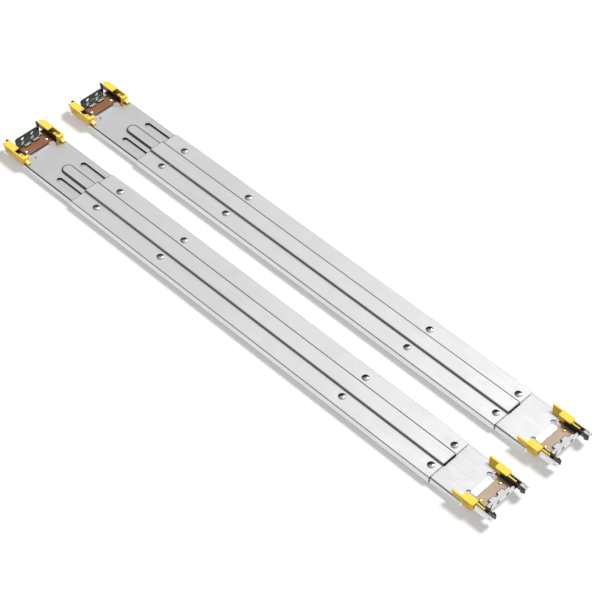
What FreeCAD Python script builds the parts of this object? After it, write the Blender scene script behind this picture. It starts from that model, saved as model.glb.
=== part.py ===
"""Pair of adjustable sliding rails for a server rack, lying face up side by side.

Each rail is a front member with a riveted top cover, a rear member that slides between the
two, and a latching end bracket at either end.  X runs along the rails towards the front end,
Y across them and Z up from the ground.  All sizes are in millimetres.
"""
import FreeCAD, Part
import math
import os

V = FreeCAD.Vector
X_AXIS, Y_AXIS, Z_AXIS = V(1, 0, 0), V(0, 1, 0), V(0, 0, 1)

# Small round pieces and their holes are drawn with this many flats, and a corner whose
# radius is under the least round one is drawn as one flat
small_sides = 10
least_round = 1.25
same_point = 1e-6                # points nearer than this are one point

# Placing of the pair
pair_pitch = 87.0                # between the centre lines of the two rails
pair_stagger = 2.0               # one rail lies this much further along

# Sheet thicknesses and gaps
cover_sheet = 0.8
member_sheet = 1.5
bracket_sheet = 1.2
slide_gap = 0.3                  # between sliding faces, above and below
side_gap = 0.3                   # between sliding side walls
moving_gap = 0.4                 # between a latch and what stands still
pin_fit = 0.05                   # running fit of a pin in its bore
sheet_bend = 0.5                 # inside radius of a folded edge

# Members
member_width = 54.4
face_height = 7.0                # front face above the ground
rear_lift = 0.2                  # side walls of the rear member above the ground
web_start = -62.0                # low web of the front member begins here
step_start = 308.0               # low web climbs to the face between here ...
step_end = 322.0                 # ... and here
rear_end = 265.0                 # inner end of the rear member
taper_length = 34.0              # side walls lose height over this length
taper_end_depth = 2.2            # what is left of a side wall at its outer end

# Rivets that join cover and front member, first pair at X = 0
rivet_row = 15.9                 # from the centre line
rivet_steps = (0.0, 93.3, 244.7, 110.0)
shouldered_pairs = 2             # these pairs run in the slots of the rear member
rivet_head_radius = 3.8
rivet_head_height = 1.5
rivet_shank_radius = 2.0
rivet_tail_radius = 3.0
rivet_tail_height = 0.9
dome_rings = (1.0, 0.72, 0.36)   # of the head's radius, from its rim upwards
shoulder_radius = 3.1

# Slots of the rear member
slot_width = 7.0
slot_start = -58.8
slot_end_land = 8.0              # from the slot to the inner end of the rear member

# Raised lanes
hat_half_base = 8.8
hat_half_top = 8.0
hat_rise = 2.2
ridge_tip = -67.5
ridge_half_base = 7.0
ridge_half_top = 6.1
ridge_rise = 1.7

# Cover
cover_start = -24.6
cover_end = 456.3
cover_corner = 3.0
cover_wall_lift = 0.6            # its side walls end this far above the ground
wide_start = -1.2                # the far side wall of the cover begins here ...
wide_end = 434.4                 # ... and ends here

# Tongues that carry the brackets; reaches are measured outwards from a bend line
rear_bend = -98.7
front_bend = 492.4
tongue_half = 12.0
tongue_inset = 1.1               # the tongue's foot is narrower than the base by this
tongue_ramp = 6.0
tongue_length = 23.0
relief_radius = 2.6
relief_bite = 0.5                # the reliefs cut this far into the tongue's root

# Prongs and the rack post they enter
rack_hole_pitch = 12.7           # tapped holes line up with two neighbouring rack holes
prong_pitch = 44.45              # prongs enter the next rack holes but one
prong_width = 6.1                # from the arm's inner face to the wall's outer face
prong_length = 34.8
wall_sheet = 1.3
wall_low = -0.9
wall_top = 6.3
wall_foot_end = 28.1             # its lower edge begins to rise here
wall_toe_back = 1.5              # its tip is cut back by this below ...
wall_toe_low = 1.0               # ... at this height, ...
wall_toe_high = 2.2              # ... upright from here ...
wall_brow = 1.2                  # ... to this far under its top
wall_tip_round = 0.4
wall_window = (2.4, 4.4)         # window near the tip, measured back from it
wall_window_height = (2.6, 3.8)
arm_sheet = 1.5
arm_low = 0.7
front_arm_start = 6.4
rear_arm_start = 2.6
arm_tip_extra = 0.2              # the arm reaches this far beyond the wall
nose_reach = 30.6
nose_depth = 1.4
nose_flat = 1.2

# End brackets
base_proud = 0.1                 # the base lies this far above the member's face
base_arm_gap = 1.9               # from the base plate to the arms beside it
base_start = 6.4
base_end = 25.2
shelf_start = 1.6
shelf_corner = 1.0
shelf_root = 2.0
base_rivet_inset = 3.8           # from the side of the base
base_rivet_reach = 11.7
base_rivet_radius = 1.2
base_rivet_head = 2.0
base_rivet_height = 0.8
base_rivet_draft = 0.6           # top of the head, as a share of its foot
screw_radius = 2.1               # tapping size of an M5 thread
screw_height = 4.2               # above the face of the member
flange_arm_gap = 3.6             # from the flange to the arms beside it
flange_reach = 26.1
flange_height = 8.2
flange_corner = 2.5
leg_reach = 16.8
leg_shoulder = 19.7              # the leg starts here beside its middle part
leg_shoulder_half = 9.6
leg_notch_half = 1.9
leg_notch_depth = 2.8

# Latches
latch_low = 0.5
latch_top = 6.8
latch_skirt = 1.3
skirt_low = -2.8
block_start = -0.5
block_end = 13.9
block_corner = 1.2
wing_reach = 11.4
wing_lean = 3.0                  # its tip leans out over this length
wing_rim = 1.9                   # thickness at the top ...
wing_foot = 5.6                  # ... and at the foot
pivot_reach = 6.5
pivot_inset = 3.8                # from the latch's outer face
pin_radius = 1.2
pin_head_radius = 2.1
pin_head_height = 0.8
pin_top = 5.0
tab_reach = 23.2
tab_width = 1.4
tab_low = 2.5
tab_top = 5.9
arm_cover = 1.7                  # what the front grip has above its arm
cap_start = 15.2
cap_end = 31.0
cap_sheet = 1.4
cap_corner = 2.6
tail_reach = 1.5                 # the rear grip's outer wall ends here ...
tail_wall = 2.0                  # ... and its end wall here, on the other side of the bend
foot_reach = 5.2
foot_heights = (1.6, 3.6)        # low foot behind the rear grip, at its tip and its root
foot_insets = (1.6, 2.4)         # from the grip's outer and inner face
floor_sheet = 1.4
hub_radius = 3.3
hub_top = 4.6
grip_rib_depth = 0.5
grip_rib_width = 0.9
grip_rib_pitch = 1.9
grip_rib_inset = 1.4             # from the grip's top and foot
grip_rib_start = 2.6             # from the start of the face that they are cut in
grip_ribs = 4

# Torsion spring round each pivot
spring_wire = 0.5
spring_radius = 1.85
spring_sides = 6                 # flats of one turn
spring_turns = 3
spring_pitch = 0.58              # close wound
spring_pocket_gap = 0.5

# Values that follow from the ones above
member_half = member_width / 2
cover_half = member_half + side_gap
rear_face = face_height - slide_gap
web_face = rear_face - member_sheet - slide_gap
low_web_half = member_half - member_sheet - side_gap
slot_end = rear_end - slot_end_land
arm_inner = (prong_pitch - prong_width) / 2
arm_outer = arm_inner + arm_sheet
wall_outer = arm_inner + prong_width
wall_inner = wall_outer - wall_sheet
wall_start = block_end + 2 * moving_gap
skirt_inner = wall_outer + moving_gap
latch_inner = arm_inner
latch_outer = skirt_inner + latch_skirt
pivot_row = latch_outer - pivot_inset
cap_underside = latch_top - cap_sheet
base_half = arm_inner - base_arm_gap
base_rivet_row = base_half - base_rivet_inset
flange_half = arm_inner - flange_arm_gap
tongue_foot_half = base_half - tongue_inset
relief_row = tongue_half + relief_radius - relief_bite
middle = ((front_bend + prong_length) + (rear_bend - prong_length)) / 2
tongue_drop = bracket_sheet - base_proud
base_face = bracket_sheet - tongue_drop
spring_height = spring_turns * spring_pitch + spring_wire


def rounded_face(points, radii=None):
    """Face in the XY plane inside a polygon whose corners are rounded by the given radii."""
    count = len(points)
    radii = radii or {}
    edges, ends = [], []
    for i, (x, y) in enumerate(points):
        corner = V(x, y, 0)
        before = V(*points[i - 1], 0) - corner
        after = V(*points[(i + 1) % count], 0) - corner
        radius = radii.get(i, 0.0)
        if radius <= 0:
            ends.append((corner, corner, None))
            continue
        half_turn = before.getAngle(after) / 2
        reach = radius / math.tan(half_turn)
        before.normalize()
        after.normalize()
        towards = (before + after).normalize()
        middle_point = corner + towards * (radius / math.sin(half_turn) - radius)
        rounded = middle_point if radius > least_round else None
        ends.append((corner + before * reach, corner + after * reach, rounded))
    for i, (start, end, middle_point) in enumerate(ends):
        if middle_point is not None:
            edges.append(Part.Arc(start, middle_point, end).toShape())
        elif start != end:
            edges.append(Part.makeLine(start, end))
        following = ends[(i + 1) % count][0]
        if (following - end).Length > same_point:
            edges.append(Part.makeLine(end, following))
    return Part.Face(Part.Wire(edges))


def plate(points, low, high, radii=None):
    """Plate with a plan outline, from one height to another."""
    face = rounded_face(points, radii)
    face.translate(V(0, 0, low))
    return face.extrude(V(0, 0, high - low))


def standing(points, left, right, radii=None):
    """Solid with an outline in X and Z, from one Y to another."""
    face = rounded_face(points, radii)
    face.rotate(V(), X_AXIS, 90)
    face.translate(V(0, left, 0))
    return face.extrude(V(0, right - left, 0))


def lengthwise(points, start, end, radii=None):
    """Solid with an outline in Y and Z, from one X to another."""
    face = rounded_face(points, radii)
    face.rotate(V(), X_AXIS, 90)
    face.rotate(V(), Z_AXIS, 90)
    face.translate(V(start, 0, 0))
    return face.extrude(V(end - start, 0, 0))


def folded_points(path, thickness):
    """Outline of a sheet that has a path as one face and lies on the left of the path."""
    far = []
    for i, (x, y) in enumerate(path):
        here = V(x, y, 0)
        ahead = (V(*path[i + 1], 0) - here).normalize() if i + 1 < len(path) else None
        behind = (here - V(*path[i - 1], 0)).normalize() if i > 0 else None
        ahead = ahead or behind
        behind = behind or ahead
        left = V(-behind.y - ahead.y, behind.x + ahead.x, 0).normalize()
        normal = V(-ahead.y, ahead.x, 0)
        far.append(here + left * (thickness / left.dot(normal)))
    return list(path) + [(p.x, p.y) for p in reversed(far)]


def folded_radii(path, thickness, bend):
    """Corner radii that give a folded sheet its inside bend on either face."""
    radii = {}
    count = len(path)
    for i in range(1, count - 1):
        ax, ay = path[i][0] - path[i - 1][0], path[i][1] - path[i - 1][1]
        bx, by = path[i + 1][0] - path[i][0], path[i + 1][1] - path[i][1]
        turns_left = ax * by - ay * bx > 0
        radii[i] = bend + (thickness if turns_left else 0.0)
        radii[2 * count - 1 - i] = bend + (0.0 if turns_left else thickness)
    return radii


def folded_rail(path, thickness, start, end, bend=sheet_bend):
    """Sheet folded along X, with its section's path in Y and Z."""
    outline = folded_points(path, thickness)
    return lengthwise(outline, start, end, folded_radii(path, thickness, bend))


def folded_across(path, thickness, half_width, bend=sheet_bend):
    """Sheet folded along Y, with its section's path in X and Z."""
    outline = folded_points(path, thickness)
    return standing(outline, -half_width, half_width, folded_radii(path, thickness, bend))


def post(radius, low, high, x=0.0, y=0.0):
    """Upright cylinder between two heights."""
    return Part.makeCylinder(radius, high - low, V(x, y, low))


def ring(radius, height, x=0.0, y=0.0):
    """Closed outline with its corners on a circle."""
    corners = []
    for index in range(small_sides + 1):
        angle = 2 * math.pi * (index % small_sides) / small_sides
        corners.append(V(x + radius * math.cos(angle), y + radius * math.sin(angle), height))
    return Part.makePolygon(corners)


def stud(radius, low, high, x=0.0, y=0.0):
    """Small round bar, with its corners on the radius."""
    return Part.Face(ring(radius, low, x, y)).extrude(V(0, 0, high - low))


def drilled(radius, low, high, x=0.0, y=0.0):
    """Cutter for a small round hole, with its flats on the radius."""
    return stud(radius / math.cos(math.pi / small_sides), low, high, x, y)


def block(x_span, y_span, z_span):
    """Box between two corners given as spans."""
    size = [span[1] - span[0] for span in (x_span, y_span, z_span)]
    return Part.makeBox(*size, V(x_span[0], y_span[0], z_span[0]))


def both_sides(row):
    """The two mirrored places across a rail."""
    return (-row, row)


def slot(start, end, half, y, low, high):
    """Upright slot with two round ends."""
    body = block((start + half, end - half), (y - half, y + half), (low, high))
    ends = [post(half, low, high, start + half, y), post(half, low, high, end - half, y)]
    return body.fuse(ends)


def rivet_places():
    """X of each rivet pair, from the steps between them."""
    places, x = [], 0.0
    for step in rivet_steps:
        x += step
        places.append(x)
    return places


def stadium_wire(tip, end, half, height):
    """Outline of a lane with one round end at its tip."""
    centre = tip + half
    arc = Part.Arc(V(centre, -half, height), V(tip, 0, height), V(centre, half, height)).toShape()
    top = Part.makeLine(V(centre, half, height), V(end, half, height))
    close = Part.makeLine(V(end, half, height), V(end, -half, height))
    bottom = Part.makeLine(V(end, -half, height), V(centre, -half, height))
    return Part.Wire([arc, top, close, bottom])


def raised_lane(tip, end, low, high, half_low, half_high):
    """Raised lane with drafted sides and one round end."""
    lower = stadium_wire(tip, end, half_low, low)
    upper = stadium_wire(tip + half_low - half_high, end, half_high, high)
    return Part.makeLoft([lower, upper], True, True)


def rivet_holes(radius, low, high, pairs):
    """Cylinders through the rivet places of some pairs."""
    return [drilled(radius, low, high, x, y) for x in pairs for y in both_sides(rivet_row)]


# Members and cover of one rail

def cover():
    """Top cover: hat section with an open centre lane and side walls over the members."""
    path = [
        (-cover_half, cover_wall_lift), (-cover_half, face_height),
        (-hat_half_base, face_height), (-hat_half_top, face_height + hat_rise),
        (hat_half_top, face_height + hat_rise), (hat_half_base, face_height),
        (cover_half, face_height), (cover_half, cover_wall_lift),
    ]
    sheet = folded_rail(path, cover_sheet, cover_start, cover_end)
    outer = cover_half + cover_sheet
    margin = member_sheet
    outline = [
        (cover_start, -outer - margin), (cover_end, -outer - margin),
        (cover_end, member_half), (wide_end, member_half), (wide_end, outer + margin),
        (wide_start, outer + margin), (wide_start, member_half), (cover_start, member_half),
    ]
    corners = {2: cover_corner, 7: cover_corner}
    roof = face_height + hat_rise + 2 * cover_sheet
    sheet = sheet.common(plate(outline, 0, roof, corners))
    holes = rivet_holes(rivet_shank_radius + pin_fit, 0, roof, rivet_places())
    return sheet.cut(holes)


def tapered_walls(outer_end, inner_side, low, high):
    """Cutters that let the side walls lose height towards an outer end."""
    toe = high - taper_end_depth
    start = outer_end - inner_side * taper_length
    outline = [
        (start, low - member_sheet), (outer_end + inner_side * member_sheet, low - member_sheet),
        (outer_end + inner_side * member_sheet, toe), (outer_end, toe), (start, low),
    ]
    return standing(outline, -member_width, member_width)


def tongue(bend_x, outwards, top):
    """Tongue that steps down from a member's face and carries the bracket."""
    path = [
        (-member_sheet, 0), (0, 0), (tongue_ramp - member_sheet / 2, -tongue_drop),
        (tongue_length, -tongue_drop),
    ]
    strip = folded_across(path, -member_sheet, tongue_foot_half)
    side = tongue_foot_half + member_sheet
    for sign in both_sides(1.0):
        span = sorted((sign * tongue_half, sign * side))
        neck = block((-member_sheet, base_start), span, (-face_height, member_sheet))
        strip = strip.cut(neck)
    holes = [drilled(base_rivet_radius + pin_fit, -face_height, member_sheet, base_rivet_reach, y)
             for y in both_sides(base_rivet_row)]
    strip = strip.cut(holes)
    return seated(strip, bend_x, outwards, top)


def seated(shape, bend_x, outwards, top):
    """Shape drawn outwards from a bend line, put at its end of the rail."""
    moved = shape.copy()
    if outwards < 0:
        moved.rotate(V(), Z_AXIS, 180)
    moved.translate(V(bend_x, 0, top))
    return moved


def end_reliefs(bend_x, outwards, top):
    """Round reliefs at either side of a tongue's root."""
    x = bend_x - outwards * relief_radius / 2
    return [post(relief_radius, top - 2 * member_sheet, top + member_sheet, x, y)
            for y in both_sides(relief_row)]


def front_member():
    """Front member: low channel under the rear member, stepping up to the end plate."""
    low_path = [(low_web_half, 0), (low_web_half, web_face),
                (-low_web_half, web_face), (-low_web_half, 0)]
    high_path = [(member_half, 0), (member_half, face_height),
                 (-member_half, face_height), (-member_half, 0)]
    low = folded_rail(low_path, member_sheet, web_start, step_start)
    high = folded_rail(high_path, member_sheet, step_end, front_bend)
    high = high.cut(tapered_walls(front_bend, 1, 0, face_height))
    ramp_path = [(step_end + member_sheet, face_height), (step_end, face_height),
                 (step_start, web_face), (step_start - member_sheet, web_face)]
    ramp = folded_across(ramp_path, member_sheet, low_web_half - member_sheet)
    solid = low.fuse([high, ramp, tongue(front_bend, 1, face_height)])
    solid = solid.cut(end_reliefs(front_bend, 1, face_height))
    roof = face_height + member_sheet
    holes = rivet_holes(rivet_shank_radius + pin_fit, 0, roof, rivet_places())
    return solid.cut(holes).removeSplitter()


def rear_member():
    """Rear member: channel with two slots and a raised, round-ended centre lane."""
    path = [(member_half, rear_lift), (member_half, rear_face),
            (-member_half, rear_face), (-member_half, rear_lift)]
    channel = folded_rail(path, member_sheet, rear_bend, rear_end)
    channel = channel.cut(tapered_walls(rear_bend, -1, rear_lift, rear_face))
    shell = raised_lane(ridge_tip, rear_end, rear_face, rear_face + ridge_rise,
                        ridge_half_base, ridge_half_top)
    hollow = raised_lane(ridge_tip + member_sheet, rear_end,
                         rear_face - member_sheet, rear_face + ridge_rise - member_sheet,
                         ridge_half_base - member_sheet / 2, ridge_half_top - member_sheet)
    solid = channel.fuse([shell, tongue(rear_bend, -1, rear_face)]).cut(hollow)
    slots = [slot(slot_start, slot_end, slot_width / 2, y, 0, face_height)
             for y in both_sides(rivet_row)]
    solid = solid.cut(slots + end_reliefs(rear_bend, -1, rear_face))
    return solid.removeSplitter()


def domed_rivet(floor, roof, shouldered):
    """Rivet with a domed head on the cover and a flat tail under the web."""
    flat = 1 - dome_rings[-1] ** 2
    rings = [ring(rivet_head_radius * share, roof + rivet_head_height * (1 - share ** 2) / flat)
             for share in dome_rings]
    head = Part.makeLoft(rings, True, True)
    shank = stud(rivet_shank_radius, floor, roof)
    tail = stud(rivet_tail_radius, floor - rivet_tail_height, floor)
    parts = [shank, tail]
    if shouldered:
        parts.append(stud(shoulder_radius, web_face, face_height))
    return head.fuse(parts).removeSplitter()


def cover_rivets():
    """The eight rivets, those of the first pairs with a shoulder for the slots."""
    rivets = []
    for index, x in enumerate(rivet_places()):
        shouldered = index < shouldered_pairs
        floor = (web_face if shouldered else face_height) - member_sheet
        for y in both_sides(rivet_row):
            rivet = domed_rivet(floor, face_height + cover_sheet, shouldered)
            rivet.translate(V(x, y, 0))
            rivets.append(rivet)
    return Part.makeCompound(rivets)


# End brackets, drawn outwards from the bend line with Z = 0 at the member's face

def bracket_base():
    """Base plate with a shelf under either latch."""
    low, high = base_face - bracket_sheet, base_face
    outline = [
        (base_start, -base_half), (shelf_start, -base_half), (shelf_start, -wall_inner),
        (base_end, -wall_inner), (base_end, wall_inner), (shelf_start, wall_inner),
        (shelf_start, base_half), (base_start, base_half),
    ]
    corners = {0: sheet_bend, 1: shelf_corner, 2: shelf_root,
               5: shelf_root, 6: shelf_corner, 7: sheet_bend}
    solid = plate(outline, low, high, corners)
    holes = [drilled(base_rivet_radius + pin_fit, low, high, base_rivet_reach, y)
             for y in both_sides(base_rivet_row)]
    leg = spring_wire / 2 + pin_fit
    leg_span = (pivot_reach + spring_radius - leg, pivot_reach + spring_radius + leg)
    for y in both_sides(pivot_row):
        holes.append(drilled(pin_radius + pin_fit, low, high, pivot_reach, y))
        holes.append(block(leg_span, (y - leg, y + leg), (low, high)))
    return solid.cut(holes)


def end_flange():
    """Flange that meets the rack post, with a stepped leg and two tapped holes."""
    path = [(leg_reach, base_face), (flange_reach, base_face), (flange_reach, flange_height)]
    solid = folded_across(path, bracket_sheet, flange_half)
    roof = base_face + bracket_sheet
    for sign in both_sides(1.0):
        side = sorted((sign * leg_shoulder_half, sign * arm_inner))
        solid = solid.cut(block((0, leg_shoulder), side, (0, roof)))
    notch = plate([(0, -2 * leg_notch_half), (leg_reach, -leg_notch_half),
                   (leg_reach + leg_notch_depth, -leg_notch_half),
                   (leg_reach + leg_notch_depth, leg_notch_half),
                   (leg_reach, leg_notch_half), (0, 2 * leg_notch_half)],
                  0, roof, {2: shelf_corner, 3: shelf_corner})
    solid = solid.cut(notch)
    for y in both_sides(rack_hole_pitch / 2):
        hole = Part.makeCylinder(screw_radius, flange_reach, V(leg_reach, y, screw_height), X_AXIS)
        solid = solid.cut(hole)
    upright = [(-flange_half, 0), (flange_half, 0),
               (flange_half, flange_height), (-flange_half, flange_height)]
    outline = lengthwise(upright, 0, 2 * flange_reach, {2: flange_corner, 3: flange_corner})
    return solid.common(outline).removeSplitter()


def base_rivets():
    """Two rivets that hold a base on its tongue."""
    rivets = []
    for y in both_sides(base_rivet_row):
        floor = base_face - bracket_sheet - member_sheet
        head = Part.makeLoft([ring(base_rivet_head, base_face),
                              ring(base_rivet_head * base_rivet_draft,
                                   base_face + base_rivet_height)], True, True)
        shank = stud(base_rivet_radius, floor, base_face)
        tail = stud(base_rivet_head, floor - base_rivet_height, floor)
        rivet = head.fuse([shank, tail])
        rivet.translate(V(base_rivet_reach, y, 0))
        rivets.append(rivet)
    return Part.makeCompound(rivets)


def prong_wall(covered):
    """Outer wall of a prong, lower where a latch cap runs over it."""
    top = cap_underside - moving_gap if covered else wall_top
    tip = prong_length
    outline = [
        (wall_start, wall_low), (base_end, wall_low), (wall_foot_end, 0.0),
        (tip - wall_toe_back, wall_toe_low), (tip, wall_toe_high), (tip, top - wall_brow),
        (tip - wall_brow, top), (wall_start, top),
    ]
    corners = {index: wall_tip_round for index in (3, 4, 5, 6, 7)}
    solid = standing(outline, wall_inner, wall_outer, corners)
    near_tip, far_from_tip = wall_window
    window = block((tip - far_from_tip, tip - near_tip), (arm_outer, latch_outer),
                   wall_window_height)
    return solid.cut(window)


def arm_step(covered):
    """Height of a hook arm beside and beyond its grip."""
    return (cap_underside, cap_underside) if covered else (latch_top - arm_cover, tab_top)


def hook_arm(covered):
    """Steel arm with a nose that catches behind the rack post."""
    start = rear_arm_start if covered else front_arm_start
    tip = prong_length + arm_tip_extra
    nose_row = arm_inner - nose_depth
    plan = [
        (start, arm_inner), (nose_reach, arm_inner), (nose_reach, nose_row),
        (nose_reach + nose_flat, nose_row), (tip, arm_inner), (tip, arm_outer),
        (start, arm_outer),
    ]
    corners = {2: wall_tip_round, 3: wall_tip_round, 4: wall_tip_round, 5: wall_tip_round}
    inside, beyond = arm_step(covered)
    solid = plate(plan, arm_low, beyond, corners)
    if beyond > inside:
        notch = block((0, block_end), (0, latch_outer), (inside, latch_top))
        solid = solid.cut(notch)
    return solid


def pivot_bore():
    """Bore and spring pocket of a latch."""
    bore = drilled(pin_radius + pin_fit, 0, pin_top + pin_fit, pivot_reach, pivot_row)
    pocket_radius = spring_radius + spring_wire / 2 + spring_pocket_gap
    pocket_top = base_face + spring_height + spring_pocket_gap
    pocket = drilled(pocket_radius, 0, pocket_top, pivot_reach, pivot_row)
    return bore.fuse(pocket)


def grip_grooves(start):
    """Finger grooves on the outside of a latch."""
    grooves = []
    for index in range(grip_ribs):
        x = start + index * grip_rib_pitch
        grooves.append(block((x, x + grip_rib_width), (latch_outer - grip_rib_depth, latch_outer),
                             (latch_low + grip_rib_inset, latch_top - grip_rib_inset)))
    return grooves


def latch_wing():
    """Thin tail of a front latch: it stands on a wider foot and leans out at its tip."""
    top_row, foot_row = latch_outer - wing_rim, latch_outer - wing_foot
    section = [(foot_row, latch_low), (latch_outer, latch_low), (latch_outer, latch_top),
               (top_row, latch_top)]
    inner = block_start + block_corner
    profile = [(inner, latch_low), (inner, latch_top), (-wing_reach, latch_top),
               (wing_lean - wing_reach, latch_low)]
    return lengthwise(section, -wing_reach, inner).common(standing(profile, 0, latch_outer))


def front_latch():
    """Front latch grip: block over the pivot, thin wing behind it and a tab along the arm."""
    plan = [(block_start, latch_inner), (block_end, latch_inner), (block_end, latch_outer),
            (block_start, latch_outer)]
    solid = plate(plan, latch_low, latch_top, {0: block_corner, 1: sheet_bend, 2: block_corner})
    skirt = block((shelf_start, block_end - block_corner), (skirt_inner, latch_outer),
                  (skirt_low, latch_low))
    tab = block((block_end, tab_reach), (arm_outer, arm_outer + tab_width), (tab_low, tab_top))
    solid = solid.fuse([latch_wing(), skirt, tab])
    inside, beyond = arm_step(False)
    room = block((front_arm_start, block_end), (0, arm_outer), (skirt_low, inside))
    cuts = [room, pivot_bore()]
    cuts += grip_grooves(block_start + grip_rib_start)
    return solid.cut(cuts).removeSplitter()


def rear_latch():
    """Rear latch grip: open tray over the pivot, low foot behind it, cap over the prong."""
    outer_inset, inner_inset = foot_insets
    low_tip, low_root = foot_heights
    end_wall = plate([(-tail_reach, latch_inner), (tail_wall, latch_inner),
                      (tail_wall, latch_outer), (-tail_reach, latch_outer)],
                     latch_low, latch_top, {0: block_corner, 3: block_corner})
    foot = standing([(-foot_reach, latch_low), (0, latch_low), (0, low_root),
                     (-tail_reach, low_root), (-foot_reach, low_tip)],
                    latch_inner + inner_inset, latch_outer - outer_inset)
    floor = block((0, block_end), (arm_outer, latch_outer), (latch_low, latch_low + floor_sheet))
    skirt = block((0, cap_start), (skirt_inner, latch_outer), (latch_low, latch_top))
    lip = block((shelf_start, cap_end - cap_corner), (skirt_inner, latch_outer),
                (skirt_low, latch_low))
    cap_plan = [(cap_start, latch_inner), (cap_end, latch_inner), (cap_end, latch_outer),
                (cap_start, latch_outer)]
    cap = plate(cap_plan, latch_low, latch_top, {1: sheet_bend, 2: cap_corner})
    under_cap = block((block_end, cap_end), (0, skirt_inner), (latch_low, cap_underside))
    cap = cap.cut(under_cap)
    hub = stud(hub_radius, latch_low, hub_top, pivot_reach, pivot_row)
    solid = end_wall.fuse([foot, floor, skirt, lip, cap, hub])
    room = block((rear_arm_start, cap_end), (0, arm_outer), (skirt_low, cap_underside))
    cuts = [pivot_bore(), room]
    cuts += grip_grooves(cap_start + grip_rib_start)
    return solid.cut(cuts).removeSplitter()


def pivot_pin():
    """Pin that a latch turns on, headed under the shelf."""
    low = base_face - bracket_sheet
    pin = stud(pin_radius, low, pin_top, pivot_reach, pivot_row)
    head = stud(pin_head_radius, low - pin_head_height, low, pivot_reach, pivot_row)
    return pin.fuse(head).removeSplitter()


def latch_spring():
    """Torsion spring round a pivot pin: close-wound turns and a leg down into the shelf."""
    half = spring_wire / 2
    corners = []
    for index in range(spring_sides * spring_turns + 1):
        angle = 2 * math.pi * index / spring_sides
        corners.append(V(spring_radius * math.cos(angle), spring_radius * math.sin(angle),
                         base_face + half + spring_pitch * index / spring_sides))
    along = corners[1] - corners[0]
    section = Part.makePolygon([V(-half, 0, -half), V(half, 0, -half), V(half, 0, half),
                                V(-half, 0, half), V(-half, 0, -half)])
    turned = math.degrees(math.atan2(-along.x, along.y))
    section.rotate(V(), Z_AXIS, turned)
    section.translate(corners[0])
    sweep = Part.BRepOffsetAPI.MakePipeShell(Part.makePolygon(corners))
    sweep.setTransitionMode(1)
    sweep.add(section)
    sweep.build()
    sweep.makeSolid()
    x = corners[0].x
    leg = block((x - half, x + half), (-half, half), (base_face - bracket_sheet, corners[0].z))
    coil = sweep.shape().fuse(leg)
    coil.translate(V(pivot_reach, pivot_row, 0))
    return coil


def mirrored(shape):
    """Copy of a shape on the other side of the rail's centre line."""
    return shape.mirror(V(), Y_AXIS)


def two_sided(shape):
    """A shape and its mirror image as one group."""
    return Part.makeCompound([shape, mirrored(shape)])


def bracket_nodes(covered):
    """Pieces of one end bracket by name, drawn outwards from the bend line."""
    wall = prong_wall(covered)
    arm = hook_arm(covered)
    grip = rear_latch() if covered else front_latch()
    return {
        "bracket_base": bracket_base(),
        "end_flange": end_flange(),
        "base_rivets": base_rivets(),
        "pivot_pins": two_sided(pivot_pin()),
        "latch_springs": two_sided(latch_spring()),
        "upper_prong_wall": wall,
        "lower_prong_wall": mirrored(wall),
        "upper_hook_arm": arm,
        "lower_hook_arm": mirrored(arm),
        "upper_latch": grip,
        "lower_latch": mirrored(grip),
    }


def opposite(name):
    """Name of the piece that a half turn brings to this side."""
    if name.startswith("upper"):
        return name.replace("upper", "lower")
    return name.replace("lower", "upper")


def rail_nodes():
    """All pieces of one rail by name, in the rail's own place."""
    nodes = {
        "front_member": front_member(),
        "cover": cover(),
        "cover_rivets": cover_rivets(),
        "rear_member": rear_member(),
    }
    for name, shape in bracket_nodes(False).items():
        nodes["front_" + name] = seated(shape, front_bend, 1, face_height)
    for name, shape in bracket_nodes(True).items():
        turned = opposite(name)
        nodes["rear_" + turned] = seated(shape, rear_bend, -1, rear_face)
    return nodes


def write_nodes():
    """Write every piece of both rails as a file of its own."""
    os.makedirs("parts", exist_ok=True)
    one_rail = rail_nodes()
    places = {"near": -0.5, "far": 0.5}
    for rail, side in places.items():
        shift = V(side * pair_stagger - middle, side * pair_pitch, 0)
        for name, shape in one_rail.items():
            placed = shape.copy()
            placed.translate(shift)
            placed.exportStep(f"parts/{rail}_{name}.step")


write_nodes()
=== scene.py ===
import logging
import math
from dataclasses import dataclass, field
from enum import Enum
from typing import Callable, Optional, Sequence

import bmesh
import bpy
from bpy.types import ID, Material, Mesh, Node, NodeSocket, NodeTree, Object
from mathutils import Matrix, Vector


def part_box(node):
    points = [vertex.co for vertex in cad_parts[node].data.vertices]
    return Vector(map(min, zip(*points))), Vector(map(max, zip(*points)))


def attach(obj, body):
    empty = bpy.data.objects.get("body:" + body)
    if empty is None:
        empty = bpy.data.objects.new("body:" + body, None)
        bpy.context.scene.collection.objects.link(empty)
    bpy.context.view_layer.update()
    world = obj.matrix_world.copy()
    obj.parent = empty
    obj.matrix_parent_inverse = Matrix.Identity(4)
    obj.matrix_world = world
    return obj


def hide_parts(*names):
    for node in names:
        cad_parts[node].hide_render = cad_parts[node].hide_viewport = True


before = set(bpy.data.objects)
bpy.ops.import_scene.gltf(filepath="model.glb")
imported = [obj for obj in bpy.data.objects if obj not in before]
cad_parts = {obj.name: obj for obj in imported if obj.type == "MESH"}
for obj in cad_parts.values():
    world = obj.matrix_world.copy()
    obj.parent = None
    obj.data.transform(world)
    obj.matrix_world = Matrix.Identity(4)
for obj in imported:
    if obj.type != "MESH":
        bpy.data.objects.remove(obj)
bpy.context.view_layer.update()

LOG = logging.getLogger("rail_pair")
MM = 0.001

Colour = tuple[float, float, float]
Way = tuple[float, float, float]
Span = tuple[float, float]
Outline = Sequence[Span]
LineRule = Callable[[Vector, Vector], float]
FaceTest = Callable[[Vector, Vector], bool]


class Rail(Enum):
    """The two rails as they lie."""

    NEAR = "near"
    FAR = "far"


class Part(Enum):
    """A part of a rail that node names mention."""

    @property
    def word(self) -> str:
        """Word that node names use for it."""
        return self.name.lower()


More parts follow.
